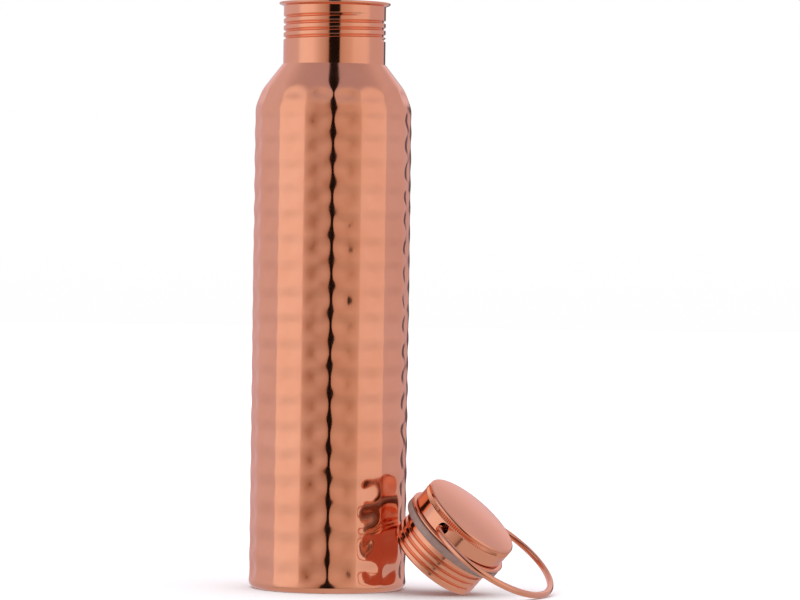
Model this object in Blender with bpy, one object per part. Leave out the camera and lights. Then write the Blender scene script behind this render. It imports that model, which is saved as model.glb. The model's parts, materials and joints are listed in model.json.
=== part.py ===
"""Hammered copper water bottle with its screw cap off, leaning on the foot of the bottle.

The bottle stands on the floor with its axis on +Z and its origin at the middle of its foot.
The cap has a domed cover, a threaded plug that screws into the neck, a soft gasket and a wire
bail.  The cap lies on the rim of its plug, which touches the floor and the bottle's wall, and
the far end of the bail lies on the floor.

Lengths are in metres and angles in radians.
"""

import math

import bmesh
import bpy
from mathutils import Matrix, Vector

TAU = 2.0 * math.pi

# Clearances
SEAM_GAP = 0.0003          # between two pieces that are soldered or seated on each other
LEAN_GAP = 0.0003          # between the leaning cap and the bottle's wall
FLOOR_GAP = 0.0001         # under the cap's rim and the bail's far end
THREAD_CLEARANCE = 0.0005  # radial play between the neck's thread and the plug's thread

# Bottle body: a drawn copper tube with a rolled-in shoulder and foot
BODY_RADIUS = 0.0360
BODY_WALL = 0.0006
FOOT_EDGE_RADIUS = 0.0034
FOOT_FLANGE_WIDTH = 0.0045
SHOULDER_HEIGHT = 0.2157
SHOULDER_BEND_RADIUS = 0.0240
SHOULDER_SLOPE = math.radians(37.5)   # the cone's lean from the vertical

# Base disc: its rim is soldered on the foot's flange and its middle is pressed flush with the foot
BASE_THICKNESS = 0.0007
BASE_STEP_WIDTH = 0.0012

# Neck: a copper ferrule with a rolled thread and a rolled mouth
NECK_RADIUS = 0.0234
NECK_WALL = 0.0007
NECK_SOCKET_DEPTH = 0.0040            # how far the neck reaches down inside the shoulder
NECK_PLAIN_HEIGHT = 0.0105            # from the shoulder up to where the groove starts
NECK_TOP_COLLAR = 0.0048              # from the groove's end up to the top of the mouth
MOUTH_LIP_OVERHANG = 0.0021           # how far the rolled lip stands out past the neck
MOUTH_LIP_THICKNESS = 0.0012
THREAD_PITCH = 0.00325
THREAD_DEPTH = 0.0010
THREAD_TURNS = 4.05
THREAD_RUN_IN = 0.17                  # turns over which the groove gets its full depth
THREAD_START_AZIMUTH = math.radians(-35.0)

# Cap, measured along its own axis from the plug's closed end
PLUG_WALL = 0.0007
PLUG_END_EDGE_RADIUS = 0.0014
PLUG_LENGTH = 0.0134                  # from the closed end to the gasket
GASKET_HEIGHT = 0.0038
GASKET_OVERHANG = 0.0002              # past the mouth's lip
GASKET_EDGE_RADIUS = 0.0011
FLANGE_OVERHANG = 0.0001              # past the gasket
FLANGE_THICKNESS = 0.0014
COVER_INSET = 0.0019                  # the cover's wall, inside the flange's edge
COVER_WALL = 0.0008
SKIRT_MARGIN = 0.0007                 # plain metal above and below the bail holes
KNURL_HEIGHT = 0.0024                 # knurled band above the skirt
COVER_EDGE_RADIUS = 0.0009
DOME_RISE = 0.0016

# Bail: one length of round copper wire, bent to a wide C whose ends go into the holes
BAIL_WIRE_DIAMETER = 0.0030
BAIL_HOLE_PLAY = 0.0022               # the holes are this much wider than the wire
BAIL_BULGE = 0.0096                   # how far the widest place stands out past the legs' feet
BAIL_REACH = 0.0485                   # from the pivot axis to the far end's centre line
BAIL_LOOP_LENGTH = 0.0299             # from the widest place to the far end
BAIL_LEG_CURVE = 1.3                  # 1 bends the legs as a quarter ellipse, more leans them in
BAIL_SIDE_PLAY = 0.0006               # between the flange and the bail's legs
BAIL_END_INSIDE = 0.0026              # how far the wire's end reaches inside the skirt

# How the cap lies beside the bottle
LEAN_AZIMUTH = math.radians(-24.5)
CAP_TILT = math.radians(42.1)         # the cap's axis from the vertical

# Fineness of the round pieces
BODY_STEPS = 48
THREAD_STEPS = 36
ROWS_PER_PITCH = 6
ARC_STEPS = 5
DOME_STEPS = 3
HOLE_STEPS = 16
LEG_STEPS = 8
LOOP_STEPS = 10

# Sizes that follow from the ones above -----------------------------------------------------

SHOULDER_HOLE_RADIUS = NECK_RADIUS + SEAM_GAP
BEND_END_RADIUS = BODY_RADIUS - SHOULDER_BEND_RADIUS * (1.0 - math.cos(SHOULDER_SLOPE))
BEND_END_HEIGHT = SHOULDER_HEIGHT + SHOULDER_BEND_RADIUS * math.sin(SHOULDER_SLOPE)
SHOULDER_TOP = BEND_END_HEIGHT + (BEND_END_RADIUS - SHOULDER_HOLE_RADIUS) / math.tan(SHOULDER_SLOPE)
NECK_THREAD_START = SHOULDER_TOP + NECK_PLAIN_HEIGHT
NECK_THREAD_END = NECK_THREAD_START + THREAD_PITCH * THREAD_TURNS
MOUTH_TOP = NECK_THREAD_END + NECK_TOP_COLLAR
MOUTH_LIP_RADIUS = NECK_RADIUS + MOUTH_LIP_OVERHANG

PLUG_RADIUS = NECK_RADIUS - NECK_WALL - THREAD_CLEARANCE
GASKET_RADIUS = MOUTH_LIP_RADIUS + GASKET_OVERHANG
FLANGE_RADIUS = GASKET_RADIUS + FLANGE_OVERHANG
COVER_RADIUS = FLANGE_RADIUS - COVER_INSET
BAIL_WIRE_RADIUS = BAIL_WIRE_DIAMETER / 2.0
BAIL_HOLE_RADIUS = (BAIL_WIRE_DIAMETER + BAIL_HOLE_PLAY) / 2.0
PLUG_THREAD_START = PLUG_END_EDGE_RADIUS + THREAD_PITCH / 2.0
PLUG_THREAD_END = PLUG_LENGTH - SEAM_GAP - THREAD_PITCH / 2.0
GASKET_BOTTOM = PLUG_LENGTH + SEAM_GAP
FLANGE_BOTTOM = GASKET_BOTTOM + GASKET_HEIGHT + SEAM_GAP
SKIRT_END = FLANGE_BOTTOM + FLANGE_THICKNESS + SEAM_GAP
PIVOT_ABOVE_PLUG_END = SKIRT_END + SKIRT_MARGIN + BAIL_HOLE_RADIUS
KNURL_BOTTOM = PIVOT_ABOVE_PLUG_END + BAIL_HOLE_RADIUS + SKIRT_MARGIN
KNURL_TOP = KNURL_BOTTOM + KNURL_HEIGHT

# The plug's rounded rim is the part of the cap that is furthest from the bail's pivot, so a
# pivot this far from the wall and the floor lets the cap turn freely beside the bottle.
PLUG_RIM_REACH = math.hypot(PLUG_RADIUS - PLUG_END_EDGE_RADIUS,
                            PIVOT_ABOVE_PLUG_END - PLUG_END_EDGE_RADIUS) + PLUG_END_EDGE_RADIUS
CAP_REACH = max(PLUG_RIM_REACH,
                math.hypot(GASKET_RADIUS, PIVOT_ABOVE_PLUG_END - GASKET_BOTTOM),
                math.hypot(FLANGE_RADIUS, PIVOT_ABOVE_PLUG_END - FLANGE_BOTTOM),
                math.hypot(COVER_RADIUS, KNURL_TOP + COVER_EDGE_RADIUS - PIVOT_ABOVE_PLUG_END))
PIVOT_OFFSET = BODY_RADIUS + LEAN_GAP + CAP_REACH
PIVOT_HEIGHT = CAP_REACH + FLOOR_GAP
PIVOT = Vector((PIVOT_OFFSET * math.cos(LEAN_AZIMUTH),
                PIVOT_OFFSET * math.sin(LEAN_AZIMUTH), PIVOT_HEIGHT))
BAIL_FOOT_HALF_WIDTH = FLANGE_RADIUS + BAIL_SIDE_PLAY + BAIL_WIRE_RADIUS
BAIL_DROOP = math.asin((PIVOT_HEIGHT - BAIL_WIRE_RADIUS - FLOOR_GAP) / BAIL_REACH)


def clear_scene():
    """Remove every object that the file opened with."""
    for old in list(bpy.data.objects):
        bpy.data.objects.remove(old, do_unlink=True)


def metal(name, colour, roughness, metallic=1.0):
    """A plain Principled material."""
    material = bpy.data.materials.new(name)
    material.use_nodes = True
    shader = material.node_tree.nodes["Principled BSDF"]
    shader.inputs["Base Color"].default_value = (*colour, 1.0)
    shader.inputs["Roughness"].default_value = roughness
    shader.inputs["Metallic"].default_value = metallic
    return material


def empty(name, place):
    """An empty that carries a moving piece about its joint."""
    holder = bpy.data.objects.new(name, None)
    holder.empty_display_size = 0.02
    holder.matrix_world = place
    bpy.context.collection.objects.link(holder)
    return holder


def add_piece(name, bm, material, parent=None):
    """Turn a bmesh into a named object, shaded smooth with its hard edges kept."""
    bmesh.ops.recalc_face_normals(bm, faces=bm.faces)
    mesh = bpy.data.meshes.new(name)
    bm.to_mesh(mesh)
    bm.free()
    mesh.materials.append(material)
    mesh.shade_smooth()
    mesh.set_sharp_from_angle(angle=math.radians(40.0))
    piece = bpy.data.objects.new(name, mesh)
    bpy.context.collection.objects.link(piece)
    piece.parent = parent
    return piece


def arc(centre, radius, start, end, steps=ARC_STEPS):
    """Points (r, z) on an arc of an outline, both ends included; angles from the r axis."""
    points = []
    for i in range(steps + 1):
        angle = start + (end - start) * i / steps
        points.append((centre[0] + radius * math.cos(angle), centre[1] + radius * math.sin(angle)))
    return points


def rows(radius, low, high, count):
    """Points (r, z) up a plain wall, both ends included."""
    return [(radius, low + (high - low) * i / count) for i in range(count + 1)]


def turned(outline, steps):
    """Spin a closed outline of (r, z) points about Z.  Points on the axis become poles."""
    bm = bmesh.new()
    ring = [bm.verts.new((r, 0.0, z)) for r, z in outline]
    edges = [bm.edges.new((ring[i], ring[i + 1])) for i in range(len(ring) - 1)]
    if outline[0][0] > 0.0 or outline[-1][0] > 0.0:
        edges.append(bm.edges.new((ring[-1], ring[0])))
    bmesh.ops.spin(bm, geom=ring + edges, cent=(0.0, 0.0, 0.0), axis=(0.0, 0.0, 1.0),
                   dvec=(0.0, 0.0, 0.0), angle=TAU, steps=steps, use_merge=True)
    bmesh.ops.remove_doubles(bm, verts=bm.verts, dist=1e-6)
    return bm


def dome(radius, low, rise):
    """Points (r, z) over a shallow crown, from its edge to its middle."""
    points = []
    for i in range(DOME_STEPS + 1):
        share = 1.0 - i / DOME_STEPS
        points.append((radius * share, low + rise * (1.0 - share * share)))
    return points


def roll_thread(bm, low, high, start_azimuth):
    """Press a right-handed helical groove into a turned wall, and into its inside as well."""
    turns = (high - low) / THREAD_PITCH
    for vert in bm.verts:
        x, y, z = vert.co
        part_turn = (math.atan2(y, x) - start_azimuth) % TAU / TAU
        travel = round((z - low) / THREAD_PITCH - part_turn) + part_turn
        if not 0.0 <= travel <= turns:
            continue
        run_in = min(1.0, travel / THREAD_RUN_IN, (turns - travel) / THREAD_RUN_IN)
        off_centre = (z - low) / THREAD_PITCH - travel
        depth = THREAD_DEPTH * run_in * 0.5 * (1.0 + math.cos(TAU * off_centre))
        radius = math.hypot(x, y)
        vert.co.x = x * (radius - depth) / radius
        vert.co.y = y * (radius - depth) / radius


def build_body_shell(material):
    """The tall tube: foot, wall, shoulder bend and cone, one wall thick."""
    flat = BODY_RADIUS - FOOT_EDGE_RADIUS
    foot_centre = (flat, FOOT_EDGE_RADIUS)
    bend_centre = (BODY_RADIUS - SHOULDER_BEND_RADIUS, SHOULDER_HEIGHT)
    outer = [(flat - FOOT_FLANGE_WIDTH, 0.0)]
    outer += arc(foot_centre, FOOT_EDGE_RADIUS, -math.pi / 2.0, 0.0)
    outer += arc(bend_centre, SHOULDER_BEND_RADIUS, 0.0, SHOULDER_SLOPE)
    outer.append((SHOULDER_HOLE_RADIUS, SHOULDER_TOP))
    inner_drop = BODY_WALL / math.sin(SHOULDER_SLOPE)
    inner = [(SHOULDER_HOLE_RADIUS, SHOULDER_TOP - inner_drop)]
    inner += arc(bend_centre, SHOULDER_BEND_RADIUS - BODY_WALL, SHOULDER_SLOPE, 0.0)
    inner += arc(foot_centre, FOOT_EDGE_RADIUS - BODY_WALL, 0.0, -math.pi / 2.0)
    inner.append((flat - FOOT_FLANGE_WIDTH, BODY_WALL))
    return add_piece("body_shell", turned(outer + inner, BODY_STEPS), material)


def build_base_disc(material):
    """The pressed disc that closes the foot."""
    rim_low = BODY_WALL + SEAM_GAP
    edge = BODY_RADIUS - FOOT_EDGE_RADIUS - SEAM_GAP
    step_top = BODY_RADIUS - FOOT_EDGE_RADIUS - FOOT_FLANGE_WIDTH - SEAM_GAP
    step_foot = step_top - BASE_STEP_WIDTH
    under = [(0.0, 0.0), (step_foot, 0.0), (step_top, rim_low), (edge, rim_low)]
    over = [(r, z + BASE_THICKNESS) for r, z in reversed(under)]
    return add_piece("base_disc", turned(under + over, BODY_STEPS), material)


def build_threaded_neck(material):
    """The ferrule: plain collar, rolled thread and the mouth turned out to a rolled lip."""
    foot = SHOULDER_TOP - NECK_SOCKET_DEPTH
    bore = NECK_RADIUS - NECK_WALL
    lip_half = MOUTH_LIP_THICKNESS / 2.0
    lip_centre = (MOUTH_LIP_RADIUS - lip_half, MOUTH_TOP - lip_half)
    wall_top = MOUTH_TOP - MOUTH_LIP_THICKNESS - NECK_WALL
    row_count = math.ceil(THREAD_TURNS + 1.0) * ROWS_PER_PITCH
    thread_low = NECK_THREAD_START - THREAD_PITCH / 2.0
    thread_high = NECK_THREAD_END + THREAD_PITCH / 2.0
    outer = [(NECK_RADIUS, foot)]
    outer += rows(NECK_RADIUS, thread_low, thread_high, row_count)
    outer.append((NECK_RADIUS, wall_top))
    outer += arc(lip_centre, lip_half, -math.pi / 2.0, math.pi / 2.0, 6)
    flare = (bore + MOUTH_LIP_THICKNESS, MOUTH_TOP - MOUTH_LIP_THICKNESS)
    inner = arc(flare, MOUTH_LIP_THICKNESS, math.pi / 2.0, math.pi, 3)
    inner += rows(bore, thread_high, thread_low, row_count)
    inner.append((bore, foot))
    bm = turned(outer + inner, THREAD_STEPS)
    roll_thread(bm, NECK_THREAD_START, NECK_THREAD_END, THREAD_START_AZIMUTH)
    return add_piece("threaded_neck", bm, material)


def on_cap(outline):
    """Move an outline from heights above the plug's end to heights above the bail's pivot."""
    return [(r, z - PIVOT_ABOVE_PLUG_END) for r, z in outline]


def build_cap_plug(material, parent):
    """The threaded cup that screws into the neck, with the flange that carries the cover."""
    edge = PLUG_END_EDGE_RADIUS
    bore = PLUG_RADIUS - PLUG_WALL
    top = FLANGE_BOTTOM + FLANGE_THICKNESS
    flange_half = FLANGE_THICKNESS / 2.0
    thread_low = PLUG_END_EDGE_RADIUS
    thread_high = PLUG_LENGTH - SEAM_GAP
    row_count = math.ceil((thread_high - thread_low) / THREAD_PITCH) * ROWS_PER_PITCH
    outer = [(0.0, 0.0)]
    outer += arc((PLUG_RADIUS - edge, edge), edge, -math.pi / 2.0, 0.0, 4)[:-1]
    outer += rows(PLUG_RADIUS, thread_low, thread_high, row_count)
    outer.append((PLUG_RADIUS, FLANGE_BOTTOM))
    outer += arc((FLANGE_RADIUS - flange_half, FLANGE_BOTTOM + flange_half), flange_half,
                 -math.pi / 2.0, math.pi / 2.0, 6)
    inner = [(bore, top)]
    inner += rows(bore, thread_high, thread_low, row_count)
    inner += arc((PLUG_RADIUS - edge, edge), edge - PLUG_WALL, 0.0, -math.pi / 2.0, 3)[1:]
    inner.append((0.0, PLUG_WALL))
    bm = turned(on_cap(outer + inner), THREAD_STEPS)
    roll_thread(bm, PLUG_THREAD_START - PIVOT_ABOVE_PLUG_END,
                PLUG_THREAD_END - PIVOT_ABOVE_PLUG_END, 0.0)
    return add_piece("cap_plug", bm, material, parent)


def build_cap_gasket(material, parent):
    """The soft ring between the flange and the bottle's mouth."""
    high = GASKET_BOTTOM + GASKET_HEIGHT
    inner = PLUG_RADIUS + SEAM_GAP
    edge = GASKET_EDGE_RADIUS
    corner = GASKET_RADIUS - edge
    outline = [(inner, GASKET_BOTTOM)]
    outline += arc((corner, GASKET_BOTTOM + edge), edge, -math.pi / 2.0, 0.0, 3)
    outline += arc((corner, high - edge), edge, 0.0, math.pi / 2.0, 3)
    outline.append((inner, high))
    return add_piece("cap_gasket", turned(on_cap(outline), THREAD_STEPS), material, parent)


def build_cap_cover(material, parent):
    """The domed cover with its skirt, and the two holes for the bail."""
    edge = COVER_EDGE_RADIUS
    crown = KNURL_TOP + edge
    flat = COVER_RADIUS - edge
    bore = COVER_RADIUS - COVER_WALL
    outer = rows(COVER_RADIUS, SKIRT_END, KNURL_TOP, 3)
    outer += arc((flat, KNURL_TOP), edge, 0.0, math.pi / 2.0, 3)[1:-1]
    outer += dome(flat, crown, DOME_RISE)
    inner = list(reversed(dome(bore, crown - COVER_WALL, DOME_RISE)))
    inner += rows(bore, KNURL_BOTTOM, SKIRT_END, 2)
    cover = add_piece("cap_cover", turned(on_cap(inner + outer), THREAD_STEPS), material, parent)
    drill = bmesh.new()
    bmesh.ops.create_cone(drill, cap_ends=True, segments=HOLE_STEPS, radius1=BAIL_HOLE_RADIUS,
                          radius2=BAIL_HOLE_RADIUS, depth=3.0 * COVER_RADIUS,
                          matrix=Matrix.Rotation(math.pi / 2.0, 4, "X"))
    cutter = add_piece("bail_hole_drill", drill, material, parent)
    cutter.hide_render = True
    cutter.display_type = "WIRE"
    holes = cover.modifiers.new("bail_holes", "BOOLEAN")
    holes.operation = "DIFFERENCE"
    holes.solver = "EXACT"
    holes.object = cutter
    return cover


def bail_path():
    """The wire's centre line as (along the pivot axis, away from it), from end to end."""
    widest = BAIL_REACH - BAIL_LOOP_LENGTH
    foot = BAIL_FOOT_HALF_WIDTH
    half_width = foot + BAIL_BULGE
    half = [(COVER_RADIUS - COVER_WALL - BAIL_END_INSIDE, 0.0)]
    for i in range(LEG_STEPS + 1):
        angle = math.pi / 2.0 * i / LEG_STEPS
        half.append((foot + BAIL_BULGE * math.sin(angle) ** BAIL_LEG_CURVE,
                     widest * (1.0 - math.cos(angle))))
    for i in range(1, LOOP_STEPS + 1):
        angle = math.pi / 2.0 * i / LOOP_STEPS
        half.append((half_width * math.cos(angle), widest + BAIL_LOOP_LENGTH * math.sin(angle)))
    return half + [(-along, away) for along, away in reversed(half[:-1])]


def build_bail_handle(material, parent):
    """The bail: a round wire swept along its path, with flat ends."""
    curve = bpy.data.curves.new("bail_handle", "CURVE")
    curve.dimensions = "3D"
    curve.bevel_depth = BAIL_WIRE_RADIUS
    curve.bevel_resolution = 2
    curve.use_fill_caps = True
    path = bail_path()
    spline = curve.splines.new("POLY")
    spline.points.add(len(path) - 1)
    for point, (along, away) in zip(spline.points, path):
        point.co = (0.0, along, away, 1.0)
    curve.materials.append(material)
    bail = bpy.data.objects.new("bail_handle", curve)
    bpy.context.collection.objects.link(bail)
    bail.parent = parent
    return bail


def main():
    """Build the bottle, then the bail and the cap on their shared pivot."""
    clear_scene()
    copper = metal("hammered_copper", (0.78, 0.42, 0.29), 0.16)
    bright_copper = metal("bright_copper", (0.80, 0.44, 0.31), 0.12)
    rubber = metal("grey_gasket", (0.30, 0.21, 0.18), 0.55, 0.0)

    build_body_shell(copper)
    build_base_disc(copper)
    build_threaded_neck(bright_copper)

    lean = Matrix.Translation(PIVOT) @ Matrix.Rotation(LEAN_AZIMUTH, 4, "Z")
    bail_frame = empty("bail_frame", lean @ Matrix.Rotation(math.pi / 2.0 + BAIL_DROOP, 4, "Y"))
    cap_frame = empty("cap_frame", lean @ Matrix.Rotation(CAP_TILT, 4, "Y"))
    build_bail_handle(bright_copper, bail_frame)
    build_cap_cover(bright_copper, cap_frame)
    build_cap_plug(bright_copper, cap_frame)
    build_cap_gasket(rubber, cap_frame)


main()
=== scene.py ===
"""Looks of the hammered copper water bottle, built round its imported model.

Lengths are in metres and angles in radians.
"""

import math

import bpy
import numpy as np
from mathutils import Matrix, Vector
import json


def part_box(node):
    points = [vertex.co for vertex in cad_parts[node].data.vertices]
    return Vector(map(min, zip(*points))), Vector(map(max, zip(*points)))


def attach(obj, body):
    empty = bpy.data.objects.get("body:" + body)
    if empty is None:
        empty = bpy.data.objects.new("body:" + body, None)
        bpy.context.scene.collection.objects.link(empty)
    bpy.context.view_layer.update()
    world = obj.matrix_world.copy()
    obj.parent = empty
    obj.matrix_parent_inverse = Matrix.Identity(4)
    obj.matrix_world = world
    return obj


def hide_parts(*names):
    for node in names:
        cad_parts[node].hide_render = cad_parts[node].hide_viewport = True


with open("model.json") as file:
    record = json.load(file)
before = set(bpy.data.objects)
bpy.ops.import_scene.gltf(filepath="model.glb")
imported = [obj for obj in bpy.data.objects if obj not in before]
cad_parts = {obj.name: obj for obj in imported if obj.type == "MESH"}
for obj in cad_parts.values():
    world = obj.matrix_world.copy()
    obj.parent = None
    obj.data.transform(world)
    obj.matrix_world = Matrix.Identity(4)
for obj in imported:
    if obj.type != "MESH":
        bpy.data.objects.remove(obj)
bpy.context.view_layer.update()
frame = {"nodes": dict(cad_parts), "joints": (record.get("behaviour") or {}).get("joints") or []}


# ---- Body shell ----------------------------------------------------------------------------
# One tube drawn from copper sheet, its shoulder and foot rolled in.  The wall is hammered in
# columns of shallow hollows that leave straight ridges between them, then polished.

TAU = 2.0 * math.pi


class Field:
    """A number that a node tree works out at each point, written as an ordinary sum."""

    def __init__(self, tree, socket):
        self.tree = tree
        self.socket = socket

    def op(self, operation, *others):
        node = self.tree.nodes.new("ShaderNodeMath")
        node.operation = operation
        for value, socket in zip((self, *others), node.inputs):
            if isinstance(value, Field):
                self.tree.links.new(value.socket, socket)
            else:
                socket.default_value = value
        return Field(self.tree, node.outputs[0])

    def __add__(self, other):
        return self.op("ADD", other)

    def __sub__(self, other):
        return self.op("SUBTRACT", other)

    def __mul__(self, other):
        return self.op("MULTIPLY", other)

    def __truediv__(self, other):
        return self.op("DIVIDE", other)

    __radd__ = __add__
    __rmul__ = __mul__

    def __rsub__(self, other):
        return self * -1.0 + other

    def __rtruediv__(self, other):
        return self.op("POWER", -1.0) * other

    def between(self, low, high):
        return self.op("MAXIMUM", low).op("MINIMUM", high)

    def eased(self):
        """Smooth steps from 0 to 1."""
        share = self.between(0.0, 1.0)
        return share * share * (3.0 - 2.0 * share)


def size_tree(name, sizes):
    """A geometry node tree whose named sizes are its inputs, and its input fields."""
    tree = bpy.data.node_groups.new(name, "GeometryNodeTree")
    tree.interface.new_socket("Geometry", in_out="INPUT", socket_type="NodeSocketGeometry")
    for label in sizes:
        tree.interface.new_socket(label, in_out="INPUT", socket_type="NodeSocketFloat")
    tree.interface.new_socket("Material", in_out="INPUT", socket_type="NodeSocketMaterial")
    tree.interface.new_socket("Geometry", in_out="OUTPUT", socket_type="NodeSocketGeometry")
    source = tree.nodes.new("NodeGroupInput")
    fields = {label: Field(tree, source.outputs[label]) for label in sizes}
    return tree, source, fields


def place_fields(tree):
    """The place of each point, as fields: x, y, z."""
    position = tree.nodes.new("GeometryNodeInputPosition")
    apart = tree.nodes.new("ShaderNodeSeparateXYZ")
    tree.links.new(position.outputs["Position"], apart.inputs[0])
    return [Field(tree, socket) for socket in apart.outputs]


def press_in(tree, source, depth):
    """End a tree by moving each point inwards by a depth, towards the Z axis."""
    x, y, z = place_fields(tree)
    share = 1.0 - depth / (x * x + y * y).op("SQRT")
    together = tree.nodes.new("ShaderNodeCombineXYZ")
    for value, socket in zip((x * share, y * share, z), together.inputs):
        tree.links.new(value.socket, socket)
    move = tree.nodes.new("GeometryNodeSetPosition")
    realize = tree.nodes.new("GeometryNodeRealizeInstances")
    finish = tree.nodes.new("GeometryNodeSetMaterial")
    output = tree.nodes.new("NodeGroupOutput")
    tree.links.new(source.outputs["Geometry"], move.inputs["Geometry"])
    tree.links.new(together.outputs[0], move.inputs["Position"])
    tree.links.new(move.outputs[0], realize.inputs[0])
    tree.links.new(realize.outputs[0], finish.inputs["Geometry"])
    tree.links.new(source.outputs["Material"], finish.inputs["Material"])
    tree.links.new(finish.outputs[0], output.inputs[0])


def formed(piece, tree, sizes, material):
    """Run a tree on a piece and keep the result as its plain mesh."""
    modifier = piece.modifiers.new(tree.name, "NODES")
    modifier.node_group = tree
    for socket in tree.interface.items_tree:
        if socket.in_out == "INPUT" and socket.name in sizes:
            modifier[socket.identifier] = sizes[socket.name]
        elif socket.in_out == "INPUT" and socket.name == "Material":
            modifier[socket.identifier] = material
    evaluated = piece.evaluated_get(bpy.context.evaluated_depsgraph_get())
    mesh = bpy.data.meshes.new_from_object(evaluated)
    piece.modifiers.remove(modifier)
    piece.data = mesh
    return piece


def arc(centre, radius, start, end, steps):
    """Points (r, z) on an arc of an outline, both ends included."""
    angles = [start + (end - start) * i / steps for i in range(steps + 1)]
    return [(centre[0] + radius * math.cos(a), centre[1] + radius * math.sin(a)) for a in angles]


def rows(radius, low, high, spacing):
    """Points (r, z) up or down a plain wall, both ends included."""
    count = max(1, math.ceil(abs(high - low) / spacing))
    return [(radius, low + (high - low) * i / count) for i in range(count + 1)]


def turned(name, outline, azimuths, closed=True):
    """A mesh object turned about Z from (r, z) points whose outer side runs upwards."""
    points, rings, faces = [], [], []
    for r, z in outline:
        if r < 1e-9:
            rings.append([len(points)] * len(azimuths))
            points.append((0.0, 0.0, z))
        else:
            rings.append(list(range(len(points), len(points) + len(azimuths))))
            points += [(r * math.cos(a), r * math.sin(a), z) for a in azimuths]
    pairs = list(zip(rings, rings[1:]))
    if closed:
        pairs.append((rings[-1], rings[0]))
    for low, high in pairs:
        for j in range(len(azimuths)):
            k = (j + 1) % len(azimuths)
            corners = (low[j], low[k], high[k], high[j])
            face = [c for i, c in enumerate(corners) if c not in corners[:i]]
            if len(face) > 2:
                faces.append(face)
    mesh = bpy.data.meshes.new(name)
    mesh.from_pydata(points, [], faces)
    mesh.shade_smooth()
    piece = bpy.data.objects.new(name, mesh)
    bpy.context.scene.collection.objects.link(piece)
    return piece


def new_material(name):
    """A new node material, its tree and its Principled shader."""
    material = bpy.data.materials.new(name)
    material.use_nodes = True
    tree = material.node_tree
    return material, tree, tree.nodes["Principled BSDF"]


def noise(tree, vector, scale, detail=3.0, roughness=0.5):
    """A noise pattern at a scale for each metre."""
    node = tree.nodes.new("ShaderNodeTexNoise")
    node.inputs["Scale"].default_value = scale
    node.inputs["Detail"].default_value = detail
    node.inputs["Roughness"].default_value = roughness
    tree.links.new(vector, node.inputs["Vector"])
    return node.outputs["Fac"]


def tones(tree, factor, *stops):
    """A colour ramp through (position, (r, g, b)) stops."""
    node = tree.nodes.new("ShaderNodeValToRGB")
    ramp = node.color_ramp
    while len(ramp.elements) < len(stops):
        ramp.elements.new(0.5)
    for element, (position, colour) in zip(ramp.elements, stops):
        element.position = position
        element.color = (*colour, 1.0)
    tree.links.new(factor, node.inputs["Fac"])
    return node.outputs["Color"]


def spread(tree, factor, low, high):
    """Map a factor of 0.3 to 0.7 onto low to high."""
    node = tree.nodes.new("ShaderNodeMapRange")
    node.inputs["From Min"].default_value = 0.3
    node.inputs["From Max"].default_value = 0.7
    node.inputs["To Min"].default_value = low
    node.inputs["To Max"].default_value = high
    tree.links.new(factor, node.inputs["Value"])
    return node.outputs["Result"]


def bumped(tree, height, distance, strength):
    """A surface normal tilted by a height pattern."""
    node = tree.nodes.new("ShaderNodeBump")
    node.inputs["Strength"].default_value = strength
    node.inputs["Distance"].default_value = distance
    tree.links.new(height, node.inputs["Height"])
    return node.outputs["Normal"]


COPPER_LIGHT = (0.93, 0.44, 0.285)
COPPER_DEEP = (0.87, 0.385, 0.235)
COPPER_GLANCING = (1.0, 0.86, 0.84, 1.0)
PATCH_SCALE = 28.0
SMEAR_SCALE = 90.0
GRAIN_SCALE = 420.0
GRAIN_HEIGHT = 0.00003
GRAIN_STRENGTH = 0.35
TURNING_STRETCH = (6.0, 6.0, 2600.0)
TURNING_HEIGHT = 0.00004


def polished_copper(name, roughness, brushing=0.0, centre=None, light=COPPER_LIGHT, deep=COPPER_DEEP):
    """Polished copper: soft tone changes, faint smears and, where asked, fine turning marks."""
    material, tree, shader = new_material(name)
    coordinates = tree.nodes.new("ShaderNodeTexCoord").outputs["Object"]
    if centre is not None:
        turn = tree.nodes.new("ShaderNodeMapping")
        turn.vector_type = "TEXTURE"
        turn.inputs["Location"].default_value = centre.to_translation()
        turn.inputs["Rotation"].default_value = centre.to_euler()
        tree.links.new(coordinates, turn.inputs["Vector"])
        coordinates = turn.outputs["Vector"]
    patches = noise(tree, coordinates, PATCH_SCALE, 4.0, 0.6)
    tree.links.new(tones(tree, patches, (0.3, deep), (0.7, light)), shader.inputs["Base Color"])
    smears = noise(tree, coordinates, SMEAR_SCALE, 5.0, 0.65)
    smeared = spread(tree, smears, roughness * 0.75, roughness * 1.35)
    tree.links.new(smeared, shader.inputs["Roughness"])
    if brushing:
        stretch = tree.nodes.new("ShaderNodeMapping")
        stretch.inputs["Scale"].default_value = TURNING_STRETCH
        tree.links.new(coordinates, stretch.inputs["Vector"])
        height = noise(tree, stretch.outputs["Vector"], 1.0, 2.0, 0.6)
        tree.links.new(bumped(tree, height, TURNING_HEIGHT, brushing), shader.inputs["Normal"])
    else:
        height = noise(tree, coordinates, GRAIN_SCALE)
        tree.links.new(bumped(tree, height, GRAIN_HEIGHT, GRAIN_STRENGTH), shader.inputs["Normal"])
    shader.inputs["Metallic"].default_value = 1.0
    shader.inputs["Specular Tint"].default_value = COPPER_GLANCING
    return material


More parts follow.
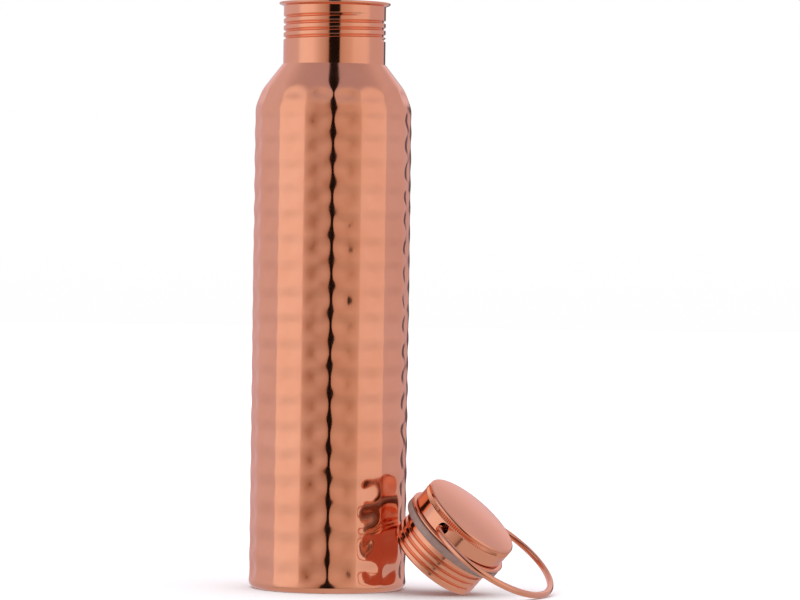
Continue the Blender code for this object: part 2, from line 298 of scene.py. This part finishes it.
shell_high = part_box("body_shell")[1]
BODY_RADIUS = shell_high.x
SHOULDER_TOP = shell_high.z
SHELL_WALL = 0.0006
FOOT_EDGE_RADIUS = 0.0034
FOOT_FLANGE_WIDTH = 0.0045
SHOULDER_HEIGHT = 0.2157
SHOULDER_BEND_RADIUS = 0.0240
SHOULDER_SLOPE = math.radians(37.5)
NECK_HOLE_RADIUS = 0.0237
HAMMER_COLUMNS = 17
STEPS_PER_COLUMN = 14
ROW_SPACING = 0.00085
INNER_ROW_SPACING = 0.0036
CONE_STEPS = 8
COLUMN_SEED = 7.31                 # keeps one column's random numbers apart from the next one's
ROW_SEED = 3.7
RIDGE_SEED = 61.3
WANDER_SCALE = 28.0
MARK_SCALE = 190.0
HOLLOW_SHARE = 0.66                # how much of the full depth an ordinary hollow is struck to
LOWEST_ROW_TOP = 1.6               # where the deeper lowest row ends, in rows
TOP_ROW_HEIGHT = 0.0195
TOP_ROW_FADE = 0.006

HAMMERING = {
    "Columns": float(HAMMER_COLUMNS),
    "First row": 0.0092,
    "Row pitch": 0.0129,
    "Crowding upwards": 27.0,      # rows gained for each square metre of height squared
    "Unevenness": 0.42,            # how far rows wander up and down, in rows
    "Hollow depth": 0.00103,
    "Bridge depth": 0.00025,
    "Ridge softness": 0.13,
    "Ridge dip": 0.00026,
    "Roughing": 0.00030,           # faint uneven marks over the whole wall
    "Lowest row": 0.22,            # how much deeper the lowest row is struck
    "Shallower top row": 0.34,
    "Top": 0.2325,
    "Top arch": 0.0032,
    "Top fade": 0.0070,
    "Foot": 0.0030,
    "Foot fade": 0.0028,
}

tree, source, size = size_tree("hammered_columns", HAMMERING)
x, y, z = place_fields(tree)
column_place = (y.op("ARCTAN2", x) / TAU + 1.25) * size["Columns"]
column = column_place.op("FLOOR")
across = (column_place - column) * 2.0 - 1.0


def wander(of_column, shift):
    """A smooth random number, near 0, that changes along each column."""
    node = tree.nodes.new("ShaderNodeTexNoise")
    node.noise_dimensions = "2D"
    node.inputs["Scale"].default_value = 1.0
    node.inputs["Detail"].default_value = 1.0
    place = tree.nodes.new("ShaderNodeCombineXYZ")
    tree.links.new((of_column * COLUMN_SEED + shift).socket, place.inputs[0])
    tree.links.new((z * WANDER_SCALE).socket, place.inputs[1])
    tree.links.new(place.outputs[0], node.inputs["Vector"])
    return Field(tree, node.outputs["Fac"]) - 0.5


def struck(of_column):
    """1 in the middle of a hollow and 0 on the bridge between two hollows."""
    wrapped = of_column.op("FLOORED_MODULO", size["Columns"])
    above = z - size["First row"]
    turns = above / size["Row pitch"] + above * above * size["Crowding upwards"]
    turns = turns + wander(wrapped, ROW_SEED) * size["Unevenness"]
    return (turns * TAU).op("COSINE") * 0.5 + 0.5


here = struck(column)
before = (here + struck(column - 1.0)) * 0.5
after = (here + struck(column + 1.0)) * 0.5
first_ridge = column.op("FLOORED_MODULO", size["Columns"])
next_ridge = (column + 1.0).op("FLOORED_MODULO", size["Columns"])
dip_before = before * (1.0 + wander(first_ridge, RIDGE_SEED) * 2.0)
dip_after = after * (1.0 + wander(next_ridge, RIDGE_SEED) * 2.0)
share = ((across + 1.0) * 0.5).eased()
soft = size["Ridge softness"]
from_ridge = 1.0 - across.op("ABSOLUTE")
square = from_ridge * from_ridge
flare = (1.0 + soft * soft).op("SQRT")
hollow = ((square + soft * soft).op("SQRT") - soft - square * square / flare * 0.25)
hollow = hollow / (flare - soft - 0.25 / flare)
force = 1.0 + size["Lowest row"] * (LOWEST_ROW_TOP - z / size["Row pitch"]).eased()
force = force - size["Shallower top row"] * ((z - size["Top"] + TOP_ROW_HEIGHT) / TOP_ROW_FADE).eased()
bridge = size["Bridge depth"]
depth = hollow * (bridge + (size["Hollow depth"] * force * HOLLOW_SHARE - bridge) * here)
depth = depth + (dip_before + (dip_after - dip_before) * share) * size["Ridge dip"]
marks = tree.nodes.new("ShaderNodeTexNoise")
marks.inputs["Scale"].default_value = MARK_SCALE
marks.inputs["Detail"].default_value = 1.5
rough = (Field(tree, marks.outputs["Fac"]) - 0.3).op("MAXIMUM", 0.0) * size["Roughing"]
depth = depth + rough * (0.3 + hollow)
top = size["Top"] - size["Top arch"] * across * across
fade_at_top = ((top - z) / size["Top fade"]).eased()
fade_at_foot = ((z - size["Foot"]) / size["Foot fade"]).eased()
press_in(tree, source, depth * fade_at_top * fade_at_foot)

flat = BODY_RADIUS - FOOT_EDGE_RADIUS
foot_centre = (flat, FOOT_EDGE_RADIUS)
bend_centre = (BODY_RADIUS - SHOULDER_BEND_RADIUS, SHOULDER_HEIGHT)
outer = [(flat - FOOT_FLANGE_WIDTH, 0.0)]
outer += arc(foot_centre, FOOT_EDGE_RADIUS, -math.pi / 2.0, 0.0, 8)
outer += rows(BODY_RADIUS, FOOT_EDGE_RADIUS, SHOULDER_HEIGHT, ROW_SPACING)[1:-1]
outer += arc(bend_centre, SHOULDER_BEND_RADIUS, 0.0, SHOULDER_SLOPE, 20)
bend_r, bend_z = outer[-1]
for i in range(1, CONE_STEPS + 1):
    outer.append((bend_r + (NECK_HOLE_RADIUS - bend_r) * i / CONE_STEPS,
                  bend_z + (SHOULDER_TOP - bend_z) * i / CONE_STEPS))
inner = [(NECK_HOLE_RADIUS, SHOULDER_TOP - SHELL_WALL / math.sin(SHOULDER_SLOPE))]
inner += arc(bend_centre, SHOULDER_BEND_RADIUS - SHELL_WALL, SHOULDER_SLOPE, 0.0, 8)
inner += rows(BODY_RADIUS - SHELL_WALL, SHOULDER_HEIGHT, FOOT_EDGE_RADIUS, INNER_ROW_SPACING)[1:-1]
inner += arc(foot_centre, FOOT_EDGE_RADIUS - SHELL_WALL, 0.0, -math.pi / 2.0, 4)
inner.append((flat - FOOT_FLANGE_WIDTH, SHELL_WALL))
# The steps crowd together at the ridges, where the wall bends most.
crowded = [(1.0 - math.cos(math.pi * i / STEPS_PER_COLUMN)) / 2.0 for i in range(STEPS_PER_COLUMN)]
azimuths = [TAU * ((k + share) / HAMMER_COLUMNS - 0.25)
            for k in range(HAMMER_COLUMNS) for share in crowded]

hammered_copper = polished_copper("hammered_copper", 0.10)
body_shell = turned("hammered_body", outer + inner, azimuths)
formed(body_shell, tree, HAMMERING, hammered_copper)
body_shell.data.set_sharp_from_angle(angle=math.radians(50.0))
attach(body_shell, "bottle")
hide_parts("body_shell")


# ---- Base disc -----------------------------------------------------------------------------
# A pressed copper disc that closes the foot: its rim is soldered on the foot's flange and its
# middle is pressed down flush with it.

disc_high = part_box("base_disc")[1]
SEAM_GAP = 0.0003
DISC_THICKNESS = 0.0007
DISC_RIM_LOW = disc_high.z - DISC_THICKNESS
DISC_STEP_WIDTH = 0.0012
DISC_STEPS = 160
step_top = flat - FOOT_FLANGE_WIDTH - SEAM_GAP
under = [(0.0, 0.0), (step_top - DISC_STEP_WIDTH, 0.0), (step_top, DISC_RIM_LOW),
         (disc_high.x, DISC_RIM_LOW)]
over = [(r, z + DISC_THICKNESS) for r, z in reversed(under)]
even = [TAU * i / DISC_STEPS for i in range(DISC_STEPS)]
base_disc = turned("foot_disc", under + over, even, closed=False)
base_disc.data.set_sharp_from_angle(angle=math.radians(30.0))
base_disc.data.materials.append(polished_copper("spun_base_copper", 0.16))
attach(base_disc, "bottle")
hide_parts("base_disc")


# ---- Threaded neck -------------------------------------------------------------------------
# A copper ferrule soldered into the shoulder.  Its thread is one groove rolled into the wall,
# and its mouth is turned out to a rolled lip.  Fine turning marks run round the plain collar.

neck_low, neck_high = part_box("threaded_neck")
MOUTH_TOP = neck_high.z
LIP_RADIUS = neck_high.x
LIP_WIDTH = 0.0021
NECK_RADIUS = LIP_RADIUS - LIP_WIDTH
NECK_WALL = 0.0007
LIP_THICKNESS = 0.0012
NECK_STEPS = 180
NECK_ROW_SPACING = 0.00016
COLLAR_ROW_SPACING = 0.002
COLLAR_OVERLAP = 0.0005
THREAD_MARGIN = 0.001
FIRST_TURN_SHARE = 0.85            # the share of a lap in which the first turn's lift runs out

NECK_THREAD = {
    "Start height": 0.24970,
    "Start azimuth": math.radians(-35.0),
    "Pitch": 0.0032,
    "Turns": 3.97,
    "Depth": 0.0010,
    "Half width": 0.00090,
    "Run in": 0.12,
    "First turn lift": 0.0016,     # the groove's first turn rises less than the others
}


def thread_tree(name, sizes):
    """A tree that rolls a right-handed helical groove into a turned wall."""
    tree, source, size = size_tree(name, sizes)
    x, y, z = place_fields(tree)
    part = ((y.op("ARCTAN2", x) - size["Start azimuth"]) / TAU).op("FLOORED_MODULO", 1.0)
    depth = None
    for lap in range(math.ceil(sizes["Turns"])):
        travel = part + float(lap)
        flatter = (1.0 - travel / FIRST_TURN_SHARE).op("MAXIMUM", 0.0)
        lift = size["First turn lift"] * flatter * flatter
        centre = size["Start height"] + size["Pitch"] * travel + lift
        off = ((z - centre) / size["Half width"]).op("ABSOLUTE").op("MINIMUM", 1.0)
        run = (travel / size["Run in"]).eased() * ((size["Turns"] - travel) / size["Run in"]).eased()
        groove = ((off * math.pi).op("COSINE") + 1.0) * run
        depth = groove if depth is None else depth.op("MAXIMUM", groove)
    press_in(tree, source, depth * size["Depth"] * 0.5)
    return tree


bore = NECK_RADIUS - NECK_WALL
lip_half = LIP_THICKNESS / 2.0
thread_low = NECK_THREAD["Start height"] - THREAD_MARGIN
thread_high = thread_low + NECK_THREAD["Pitch"] * (NECK_THREAD["Turns"] + 1.0)
outer = [(NECK_RADIUS, neck_low.z)]
outer += rows(NECK_RADIUS, SHOULDER_TOP - COLLAR_OVERLAP, thread_low, COLLAR_ROW_SPACING)
outer += rows(NECK_RADIUS, thread_low, thread_high, NECK_ROW_SPACING)[1:]
outer.append((NECK_RADIUS, MOUTH_TOP - LIP_THICKNESS - NECK_WALL))
lip_middle = (LIP_RADIUS - lip_half, MOUTH_TOP - lip_half)
outer += arc(lip_middle, lip_half, -math.pi / 2.0, math.pi / 2.0, 12)
flare_centre = (bore + LIP_THICKNESS, MOUTH_TOP - LIP_THICKNESS)
inner = arc(flare_centre, LIP_THICKNESS, math.pi / 2.0, math.pi, 8)
inner += rows(bore, thread_high, thread_low, NECK_ROW_SPACING * 2.0)
inner.append((bore, neck_low.z))
even = [TAU * i / NECK_STEPS for i in range(NECK_STEPS)]

neck_copper = polished_copper("turned_neck_copper", 0.085, brushing=0.25)
neck = turned("screw_neck", outer + inner, even)
formed(neck, thread_tree("neck_thread", NECK_THREAD), NECK_THREAD, neck_copper)
neck.data.set_sharp_from_angle(angle=math.radians(60.0))
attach(neck, "bottle")
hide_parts("threaded_neck")


# ---- Cap cover -----------------------------------------------------------------------------
# A cup drawn from thicker sheet, with a shallow dome, a crisp crease, a knurled band and a
# plain skirt.  Two punched holes in the skirt take the ends of the bail.

bail_joint = next(joint for joint in frame["joints"] if joint["name"] == "bail_hinge")
PIVOT = Vector(bail_joint["pos_m"])
PIVOT_AXIS = Vector(bail_joint["axis"]).normalized()


def node_points(name):
    """A CAD node's corners, as rows of an array."""
    return np.array([vertex.co for vertex in frame["nodes"][name].data.vertices])


# The gasket is a plain ring, so its points give the cap's own axis.
ring = node_points("cap_gasket")
ring_middle = (ring.max(axis=0) + ring.min(axis=0)) / 2.0
cap_up = Vector(np.linalg.svd(ring - ring.mean(axis=0))[2][2])
if cap_up.z < 0.0:
    cap_up.negate()
cap_up = (cap_up - cap_up.dot(PIVOT_AXIS) * PIVOT_AXIS).normalized()
cap_side = PIVOT_AXIS.cross(cap_up).normalized()
cap_place = Matrix.Translation(PIVOT) @ Matrix((cap_side, PIVOT_AXIS, cap_up)).transposed().to_4x4()


def cap_reach(name):
    """A cap node's lowest and highest height along the cap's axis, and its radius."""
    local = [cap_place.inverted() @ Vector(point) for point in node_points(name)]
    heights = [point.z for point in local]
    return min(heights), max(heights), max(math.hypot(point.x, point.y) for point in local)


def on_cap(piece):
    """Put a piece made about Z into its place on the cap."""
    piece.data.transform(cap_place)
    return piece


skirt_low, dome_top, COVER_RADIUS = cap_reach("cap_cover")
COVER_WALL = 0.0008
COVER_EDGE_RADIUS = 0.0013
DOME_RISE = 0.0016
KNURL_TEETH = 140
STEPS_PER_TOOTH = 6
KNURL_STEPS = KNURL_TEETH * STEPS_PER_TOOTH
KNURL_ROW_SPACING = 0.00025
KNURL_MARGIN = 0.0001
SKIRT_ROW_SPACING = 0.0016
INNER_STEP_HEIGHT = 0.0066
KNURL = {
    "Teeth": float(KNURL_TEETH),
    "Tooth depth": 0.00055,
    "Low": skirt_low + 0.0062,
    "High": skirt_low + 0.0085,
    "Fade": 0.00025,
}
crown = dome_top - DOME_RISE
knurl_top = crown - COVER_EDGE_RADIUS

tree, source, size = size_tree("knurled_band", KNURL)
x, y, z = place_fields(tree)
tooth = (y.op("ARCTAN2", x) * size["Teeth"]).op("COSINE")
inside = ((z - size["Low"]) / size["Fade"]).eased() * ((size["High"] - z) / size["Fade"]).eased()
press_in(tree, source, (1.0 - tooth) * 0.5 * size["Tooth depth"] * inside)


def dome(radius, low, rise, steps):
    """Points (r, z) over a shallow crown, from its edge to its middle."""
    shares = [1.0 - i / steps for i in range(steps + 1)]
    return [(radius * share, low + rise * (1.0 - share * share)) for share in shares]


edge = COVER_EDGE_RADIUS
bore = COVER_RADIUS - COVER_WALL
outer = rows(COVER_RADIUS, skirt_low, KNURL["Low"] - KNURL_MARGIN * 2.0, SKIRT_ROW_SPACING)
outer += rows(COVER_RADIUS, KNURL["Low"] - KNURL_MARGIN, KNURL["High"] + KNURL_MARGIN, KNURL_ROW_SPACING)
outer += arc((COVER_RADIUS - edge, knurl_top), edge, 0.0, math.pi / 2.0, 6)[:-1]
outer += dome(COVER_RADIUS - edge, crown, DOME_RISE, 14)
inner = list(reversed(dome(bore, crown - COVER_WALL, DOME_RISE, 6)))
inner += [(bore, skirt_low + INNER_STEP_HEIGHT), (bore, skirt_low)]
even = [TAU * i / KNURL_STEPS for i in range(KNURL_STEPS)]

cap_copper = polished_copper("turned_cap_copper", 0.10, brushing=0.12, centre=cap_place)
cover = turned("domed_cover", inner + outer, even, closed=False)
formed(cover, tree, KNURL, cap_copper)

BAIL_HOLE_DIAMETER = 0.0052
HOLE_STEPS = 40
drill_half = 1.5 * COVER_RADIUS
hole_radius = BAIL_HOLE_DIAMETER / 2.0
drill_outline = [(0.0, -drill_half), (hole_radius, -drill_half),
                 (hole_radius, drill_half), (0.0, drill_half)]
hole_azimuths = [TAU * i / HOLE_STEPS for i in range(HOLE_STEPS)]
drill = turned("bail_hole_drill", drill_outline, hole_azimuths, closed=False)
drill.data.transform(Matrix.Rotation(math.pi / 2.0, 4, "X"))
punch = cover.modifiers.new("bail_holes", "BOOLEAN")
punch.operation = "DIFFERENCE"
punch.solver = "EXACT"
punch.object = drill
punched = cover.evaluated_get(bpy.context.evaluated_depsgraph_get())
cover.data = bpy.data.meshes.new_from_object(punched)
cover.modifiers.clear()
bpy.data.objects.remove(drill)
cover.data.set_sharp_from_angle(angle=math.radians(32.0))
on_cap(cover)
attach(cover, "cap")
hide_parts("cap_cover")


# ---- Cap plug ------------------------------------------------------------------------------
# A drawn copper cup that screws inside the neck, with a thread rolled into its wall and a
# rolled flange, on which the cover is soldered.

plug_low, flange_top, FLANGE_RADIUS = cap_reach("cap_plug")
gasket_low, gasket_high, GASKET_RADIUS = cap_reach("cap_gasket")
THREAD_CLEARANCE = 0.0005
PLUG_RADIUS = NECK_RADIUS - NECK_WALL - THREAD_CLEARANCE
PLUG_WALL = 0.0007
PLUG_EDGE_RADIUS = 0.0014
FLANGE_THICKNESS = 0.0014
PLUG_STEPS = 180
BELOW_GASKET = 0.0004
# The closed end's two colours are painted shade and painted reflection: darker, redder copper for the
# shadow under the cap and the copper-red light in it.
END_PAINTED_SHADE_LIGHT = (0.72, 0.21, 0.13)
END_PAINTED_SHADE_DEEP = (0.47, 0.10, 0.06)
PLUG_THREAD = {
    "Start height": plug_low + 0.0026,
    "Start azimuth": math.radians(170.0),
    "Pitch": 0.0032,
    "Turns": 2.7,
    "Depth": 0.0010,
    "Half width": 0.00090,
    "Run in": 0.12,
    "First turn lift": 0.0,
}
flange_low = flange_top - FLANGE_THICKNESS
flange_half = FLANGE_THICKNESS / 2.0
bore = PLUG_RADIUS - PLUG_WALL
corner = (PLUG_RADIUS - PLUG_EDGE_RADIUS, plug_low + PLUG_EDGE_RADIUS)
outer = [(0.0, plug_low), (PLUG_RADIUS * 0.5, plug_low)]
outer += arc(corner, PLUG_EDGE_RADIUS, -math.pi / 2.0, 0.0, 8)[:-1]
outer += rows(PLUG_RADIUS, corner[1], gasket_low - BELOW_GASKET, NECK_ROW_SPACING)
outer += [(PLUG_RADIUS, gasket_low), (PLUG_RADIUS, flange_low)]
flange_middle = (FLANGE_RADIUS - flange_half, flange_low + flange_half)
outer += arc(flange_middle, flange_half, -math.pi / 2.0, math.pi / 2.0, 12)
inner = [(bore, flange_top)]
inner += rows(bore, gasket_low - BELOW_GASKET, corner[1], NECK_ROW_SPACING * 2.0)
inner += arc(corner, PLUG_EDGE_RADIUS - PLUG_WALL, 0.0, -math.pi / 2.0, 4)[1:]
inner += [(PLUG_RADIUS * 0.5, plug_low + PLUG_WALL), (0.0, plug_low + PLUG_WALL)]
even = [TAU * i / PLUG_STEPS for i in range(PLUG_STEPS)]

plug = turned("screw_plug", outer + inner, even, closed=False)
formed(plug, thread_tree("plug_thread", PLUG_THREAD), PLUG_THREAD, cap_copper)
plug.data.set_sharp_from_angle(angle=math.radians(60.0))
# The closed end is hidden where the cap leans, so its colour is a guess: darker, redder copper painted in
# as shade and as copper-red reflection.
painted_shade_end_copper = polished_copper("end_copper_painted_shade", 0.16, light=END_PAINTED_SHADE_LIGHT, deep=END_PAINTED_SHADE_DEEP)
plug.data.materials.append(painted_shade_end_copper)
for face in plug.data.polygons:
    if face.center.z < plug_low + PLUG_EDGE_RADIUS * 0.3:
        face.material_index = 1
on_cap(plug)
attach(plug, "cap")
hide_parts("cap_plug")


# ---- Gasket --------------------------------------------------------------------------------
# A soft silicone ring with a rounded outer edge, pushed up against the flange.

GASKET_EDGE_RADIUS = 0.0011
SILICONE_DEEP = (0.26, 0.165, 0.14)
SILICONE_LIGHT = (0.34, 0.23, 0.20)
edge = GASKET_EDGE_RADIUS
bore = PLUG_RADIUS + SEAM_GAP
outline = [(bore, gasket_low)]
outline += arc((GASKET_RADIUS - edge, gasket_low + edge), edge, -math.pi / 2.0, 0.0, 8)
outline += arc((GASKET_RADIUS - edge, gasket_high - edge), edge, 0.0, math.pi / 2.0, 8)
outline.append((bore, gasket_high))
gasket = turned("cap_seal", outline, even)
gasket.data.set_sharp_from_angle(angle=math.radians(50.0))
silicone, tree, shader = new_material("grey_silicone")
coordinates = tree.nodes.new("ShaderNodeTexCoord").outputs["Object"]
speckle = noise(tree, coordinates, 160.0, 5.0, 0.6)
speckled = tones(tree, speckle, (0.3, SILICONE_DEEP), (0.7, SILICONE_LIGHT))
tree.links.new(speckled, shader.inputs["Base Color"])
tree.links.new(spread(tree, speckle, 0.42, 0.6), shader.inputs["Roughness"])
pores = noise(tree, coordinates, 900.0)
tree.links.new(bumped(tree, pores, 0.00005, 0.5), shader.inputs["Normal"])
gasket.data.materials.append(silicone)
on_cap(gasket)
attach(gasket, "cap")
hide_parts("cap_gasket")


# ---- Bail ----------------------------------------------------------------------------------
# One length of round copper wire bent to a wide C.  Its ends go straight into the holes in
# the skirt, where they are loose enough to swing.

wire = node_points("bail_handle")
far_point = Vector(wire[np.argmax(((wire - np.array(PIVOT)) ** 2).sum(axis=1))])
away = far_point - PIVOT
away = (away - away.dot(PIVOT_AXIS) * PIVOT_AXIS).normalized()
along = (wire - np.array(PIVOT)) @ np.array(PIVOT_AXIS)
out = (wire - np.array(PIVOT)) @ np.array(away)
WIRE_DIAMETER = 0.0030
WIRE_RADIUS = WIRE_DIAMETER / 2.0
BAIL_HALF_WIDTH = float(along.max()) - WIRE_RADIUS
BAIL_REACH = float(out.max()) - WIRE_RADIUS
BAIL_LOOP_LENGTH = 0.0299
BAIL_BULGE = 0.0096
BAIL_LEG_CURVE = 1.3
BAIL_END_INSIDE = 0.0026
LEG_STEPS = 24
LOOP_STEPS = 40
WIRE_SIDES = 24

widest = BAIL_REACH - BAIL_LOOP_LENGTH
foot = BAIL_HALF_WIDTH - BAIL_BULGE
half = [(COVER_RADIUS - COVER_WALL - BAIL_END_INSIDE, 0.0), (foot - WIRE_DIAMETER, 0.0)]
for i in range(LEG_STEPS + 1):
    angle = math.pi / 2.0 * i / LEG_STEPS
    half.append((foot + BAIL_BULGE * math.sin(angle) ** BAIL_LEG_CURVE, widest * (1.0 - math.cos(angle))))
for i in range(1, LOOP_STEPS + 1):
    angle = math.pi / 2.0 * i / LOOP_STEPS
    half.append((BAIL_HALF_WIDTH * math.cos(angle), widest + BAIL_LOOP_LENGTH * math.sin(angle)))
path = half + [(-a, b) for a, b in reversed(half[:-1])]

curve = bpy.data.curves.new("wire_bail", "CURVE")
curve.dimensions = "3D"
curve.bevel_depth = WIRE_RADIUS
curve.bevel_resolution = WIRE_SIDES // 4 - 2
curve.use_fill_caps = True
spline = curve.splines.new("POLY")
spline.points.add(len(path) - 1)
for point, (a, b) in zip(spline.points, path):
    point.co = (*(PIVOT + PIVOT_AXIS * a + away * b), 1.0)
swept = bpy.data.objects.new("wire_path", curve)
bpy.context.scene.collection.objects.link(swept)
bail_mesh = bpy.data.meshes.new_from_object(
    swept.evaluated_get(bpy.context.evaluated_depsgraph_get()))
bpy.data.objects.remove(swept)
bail = bpy.data.objects.new("wire_bail", bail_mesh)
bpy.context.scene.collection.objects.link(bail)
bail_mesh.shade_smooth()
bail_mesh.set_sharp_from_angle(angle=math.radians(50.0))
bail_mesh.materials.clear()
bail_mesh.materials.append(polished_copper("drawn_wire_copper", 0.12))
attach(bail, "bail")
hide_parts("bail_handle")


# ---- Floor ---------------------------------------------------------------------------------
# A plain white sweep.  Its underside lets the light through, so that the foot can be seen.

FLOOR_HALF = 6.0
floor_mesh = bpy.data.meshes.new("floor")
corners = [(a * FLOOR_HALF, b * FLOOR_HALF, 0.0) for a, b in ((-1, -1), (1, -1), (1, 1), (-1, 1))]
floor_mesh.from_pydata(corners, [], [(0, 1, 2, 3)])
floor = bpy.data.objects.new("floor", floor_mesh)
bpy.context.scene.collection.objects.link(floor)
floor.visible_glossy = False
floor_paint, tree, shader = new_material("white_floor")
shader.inputs["Base Color"].default_value = (0.9, 0.9, 0.9, 1.0)
shader.inputs["Roughness"].default_value = 1.0
shader.inputs["Specular IOR Level"].default_value = 0.0
clear = tree.nodes.new("ShaderNodeBsdfTransparent")
pick = tree.nodes.new("ShaderNodeMixShader")
output = tree.nodes["Material Output"]
tree.links.new(tree.nodes.new("ShaderNodeNewGeometry").outputs["Backfacing"], pick.inputs[0])
tree.links.new(shader.outputs[0], pick.inputs[1])
tree.links.new(clear.outputs[0], pick.inputs[2])
tree.links.new(pick.outputs[0], output.inputs["Surface"])
floor_mesh.materials.append(floor_paint)


# ---- Light tent ----------------------------------------------------------------------------
# Pale cloth all round, brightest at the two sides, with a dark slit at the front that runs
# from the table up over the top.  A wide soft light from above whitens the floor.

world = bpy.data.worlds.new("light_tent")
bpy.context.scene.world = world
world.use_nodes = True
tree = world.node_tree
direction = tree.nodes.new("ShaderNodeTexCoord").outputs["Generated"]
apart = tree.nodes.new("ShaderNodeSeparateXYZ")
tree.links.new(direction, apart.inputs[0])
x, y, z = [Field(tree, socket) for socket in apart.outputs]

CLOTH = (                          # angle round from the front, in degrees, and colour
    (-180, (0.30, 0.28, 0.30)), (-177, (0.68, 0.67, 0.78)), (-100, (0.69, 0.66, 0.74)),
    (-91, (0.71, 0.68, 0.75)), (-82, (0.92, 0.90, 0.91)), (-70, (0.96, 0.93, 0.94)),
    (-50, (0.93, 0.87, 0.87)), (-41, (0.80, 0.72, 0.70)), (-32, (0.66, 0.57, 0.54)),
    (-22, (0.57, 0.47, 0.43)), (-15, (0.46, 0.34, 0.28)), (-11, (0.36, 0.24, 0.19)),
    (11, (0.46, 0.33, 0.27)), (16, (0.58, 0.46, 0.39)), (25, (0.64, 0.53, 0.47)),
    (36, (0.70, 0.60, 0.55)), (46, (0.82, 0.74, 0.70)), (72, (0.86, 0.78, 0.78)),
    (81, (0.83, 0.76, 0.78)), (90, (0.65, 0.60, 0.67)), (180, (0.62, 0.59, 0.67)),
)
SLIT_HALF_WIDTH = 0.22             # across, for each unit of distance
SLIT_OVERHEAD = 0.066              # and more than that higher up
SLIT_EDGE = 0.012
TABLE_EDGE = -0.56                 # how steeply below the level the table's edge is seen
REAR_GAP = 0.862                   # where the dark gap straight behind begins
REAR_GAP_HALF_HEIGHT = 0.17
REAR_GLOW = (0.84, 0.80, 0.88)
TABLE_TOP = (0.70, 0.62, 0.60)
UNLIT = (0.012, 0.009, 0.009)

azimuth = x.op("ARCTAN2", y * -1.0) / TAU + 0.5
cloth = tones(tree, azimuth.socket, *((angle / 360.0 + 0.5, colour) for angle, colour in CLOTH))
ceiling = tones(tree, z.socket, (0.0, (0.85, 0.80, 0.82)), (0.5, (0.78, 0.73, 0.76)),
                (0.8, (0.52, 0.47, 0.54)), (1.0, (0.46, 0.41, 0.49)))
reach = y * -SLIT_HALF_WIDTH + z.op("MAXIMUM", 0.0) * SLIT_OVERHEAD
in_slit = ((reach - x.op("ABSOLUTE")) / SLIT_EDGE).eased() * ((z - TABLE_EDGE) / 0.03).eased()
at_edge = (1.0 - ((z - TABLE_EDGE) / 0.035).op("ABSOLUTE")).eased() * (y * -4.0 + 1.0).eased()
behind = ((y - REAR_GAP) / 0.02).eased() * ((x + 0.05) / 0.05).eased()
behind = behind * ((REAR_GAP_HALF_HEIGHT - z.op("ABSOLUTE")) / 0.06).eased()
dark = in_slit.op("MAXIMUM", behind * 0.8).op("MAXIMUM", at_edge * 0.9)


def blend(factor, first, second):
    """Mix two colours, each a socket or three numbers."""
    node = tree.nodes.new("ShaderNodeMix")
    node.data_type = "RGBA"
    tree.links.new(factor, node.inputs["Factor"])
    for colour, socket in ((first, node.inputs["A"]), (second, node.inputs["B"])):
        if isinstance(colour, tuple):
            socket.default_value = (*colour, 1.0)
        else:
            tree.links.new(colour, socket)
    return node.outputs["Result"]


tent = blend(((z - 0.45) / 0.45).eased().socket, cloth, ceiling)
glow = ((y - 0.70) / 0.2).eased() * ((z - 0.14) / 0.1).eased() * ((0.75 - z) / 0.2).eased()
tent = blend(glow.socket, tent, REAR_GLOW)
tent = blend(((TABLE_EDGE - z) / 0.05).eased().socket, tent, TABLE_TOP)
tent = blend(dark.socket, tent, UNLIT)
seen_straight = tree.nodes.new("ShaderNodeLightPath").outputs["Is Camera Ray"]
background = tree.nodes["Background"]
tree.links.new(blend(seen_straight, tent, (1.0, 1.0, 1.0)), background.inputs["Color"])
tree.links.new((z * 0.42 + 1.0).between(0.86, 1.0).socket, background.inputs["Strength"])

lamp = bpy.data.lights.new("soft_top_light", "SUN")
lamp.energy = 2.4
lamp.angle = math.radians(110.0)
top_light = bpy.data.objects.new("soft_top_light", lamp)
top_light.visible_glossy = False
bpy.context.scene.collection.objects.link(top_light)
bpy.context.scene.view_settings.view_transform = "Standard"


# ---- Camera --------------------------------------------------------------------------------
# A long lens at a little over half the bottle's height, aimed a little to the right of it.

CAMERA_DISTANCE = 1.96
EYE_HEIGHT = 0.1587
LENS = 192.33
AIM_RIGHT = 0.016168               # across and down, for each unit of distance
AIM_DOWN = 0.013346
ROLL = math.radians(0.8)

camera_data = bpy.data.cameras.new("camera")
camera_data.sensor_width = 36.0
camera_data.lens = LENS
camera_data.clip_start = 0.05
camera_data.clip_end = 100.0
camera = bpy.data.objects.new("camera", camera_data)
bpy.context.scene.collection.objects.link(camera)
back = Vector((-AIM_RIGHT, -1.0, AIM_DOWN)).normalized()
up = back.cross(Vector((math.cos(ROLL), 0.0, math.sin(ROLL)))).normalized()
right = up.cross(back)
camera.matrix_world = Matrix.Translation((0.0, -CAMERA_DISTANCE, EYE_HEIGHT)) @ Matrix(
    (right, up, back)).transposed().to_4x4()
bpy.context.scene.camera = camera
